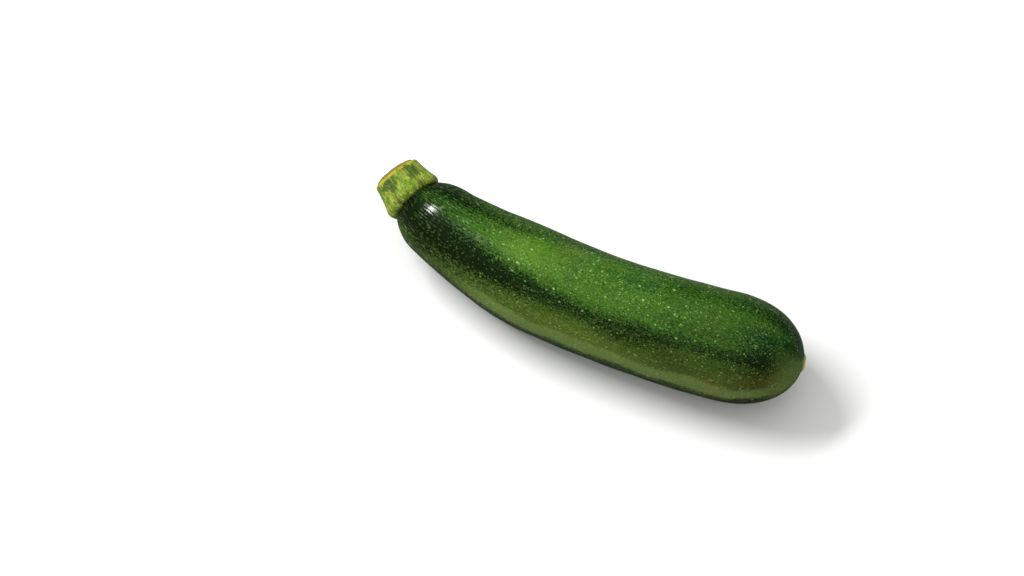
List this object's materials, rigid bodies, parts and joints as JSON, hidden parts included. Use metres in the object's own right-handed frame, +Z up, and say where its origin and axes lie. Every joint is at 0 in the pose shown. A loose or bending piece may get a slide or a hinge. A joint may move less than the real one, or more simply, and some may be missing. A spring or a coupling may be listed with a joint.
{
  "type": "courgette",
  "caption": "Dark green, gently bent courgette lying on its side, with a short ribbed stem stub and a corky blossom scar.",
  "frame": {"origin": "on the table under the middle of the whole courgette", "axes": "+Z up, +X along the courgette from the stem towards the blossom end, +Y towards the inside of its bend"},
  "size_m": [0.198, 0.0529, 0.0457],
  "materials": {
    "fruit_skin": "glossy waxy skin, dark green with pale speckles",
    "stem_flesh": "matte, yellow-green with dark green streaks",
    "scar_cork": "matte cork"
  },
  "bodies": {
    "root": {"fruit": "fruit_skin", "stem": "stem_flesh", "blossom_scar": "scar_cork"}
  },
  "joints": []
}
